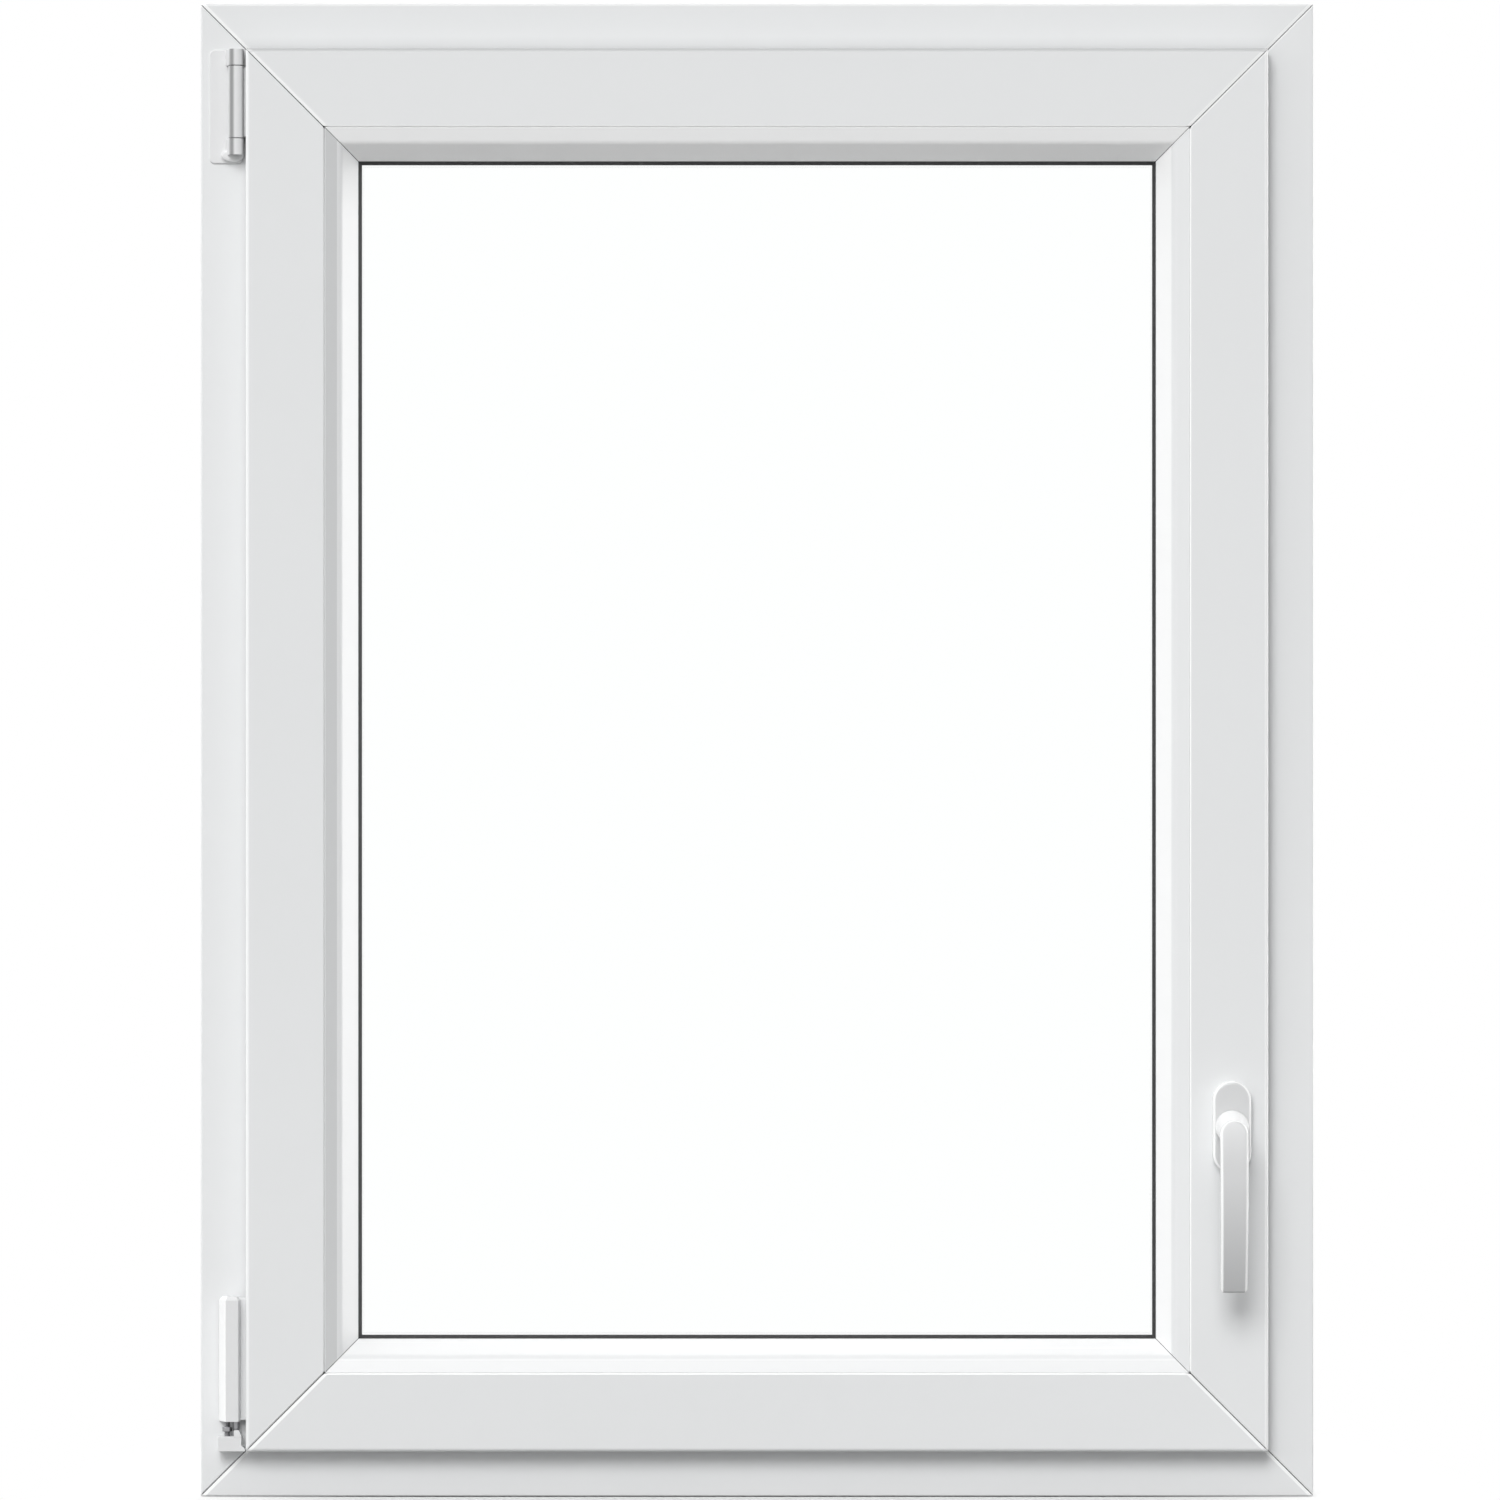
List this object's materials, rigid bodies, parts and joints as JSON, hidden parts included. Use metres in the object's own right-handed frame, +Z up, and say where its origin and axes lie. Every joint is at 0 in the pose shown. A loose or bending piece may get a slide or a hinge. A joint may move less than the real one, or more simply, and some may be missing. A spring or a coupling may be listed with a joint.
{
  "type": "pvc tilt-and-turn window",
  "caption": "White PVC casement window with a mitred frame and sash, bevelled glazing beads, double glazing, a lever handle and surface hinges.",
  "frame": {"origin": "on the underside of the frame sill, at mid width and mid depth of the frame", "axes": "+Z up, +X to the right as seen from the room, +Y from the room to the outside; the handle and hinges are on the -Y side"},
  "size_m": [0.82, 0.1491, 1.1],
  "materials": {
    "frame_pvc": "satin white",
    "sash_pvc": "satin white",
    "bead_pvc": "satin white",
    "clear_glass": "clear",
    "spacer_metal": "mill",
    "black_rubber": "matt black",
    "handle_white": "white powder coat",
    "hinge_white": "white powder coat",
    "hinge_steel": "zinc plated"
  },
  "bodies": {
    "window": {"frame_sill": "frame_pvc", "frame_head": "frame_pvc", "frame_left_jamb": "frame_pvc", "frame_right_jamb": "frame_pvc", "sash_bottom_rail": "sash_pvc", "sash_top_rail": "sash_pvc", "sash_hinge_stile": "sash_pvc", "sash_lock_stile": "sash_pvc", "bead_bottom": "bead_pvc", "bead_top": "bead_pvc", "bead_left": "bead_pvc", "bead_right": "bead_pvc", "glass_inner_pane": "clear_glass", "glass_outer_pane": "clear_glass", "glass_spacer": "spacer_metal", "glazing_gasket_room_side": "black_rubber", "glazing_gasket_outside": "black_rubber", "overlap_seal": "black_rubber", "stop_seal": "black_rubber", "handle_rosette": "handle_white", "top_hinge_frame_bracket": "hinge_white", "top_hinge_stay_knuckle": "hinge_white", "top_hinge_pin": "hinge_white", "bottom_hinge_frame_bearing": "hinge_white", "bottom_hinge_sash_band": "hinge_white", "bottom_hinge_pivot": "hinge_steel", "bottom_hinge_adjusting_screw": "hinge_steel", "drain_cap_left": "frame_pvc", "drain_cap_right": "frame_pvc"},
    "handle": {"handle_lever": "handle_white"}
  },
  "joints": [
    {"name": "handle_turn", "type": "hinge", "parent": "window", "child": "handle", "pos_m": [0.3488, -0.055, 0.273], "axis": [0, 1, 0], "range_deg": [0, 180]}
  ]
}
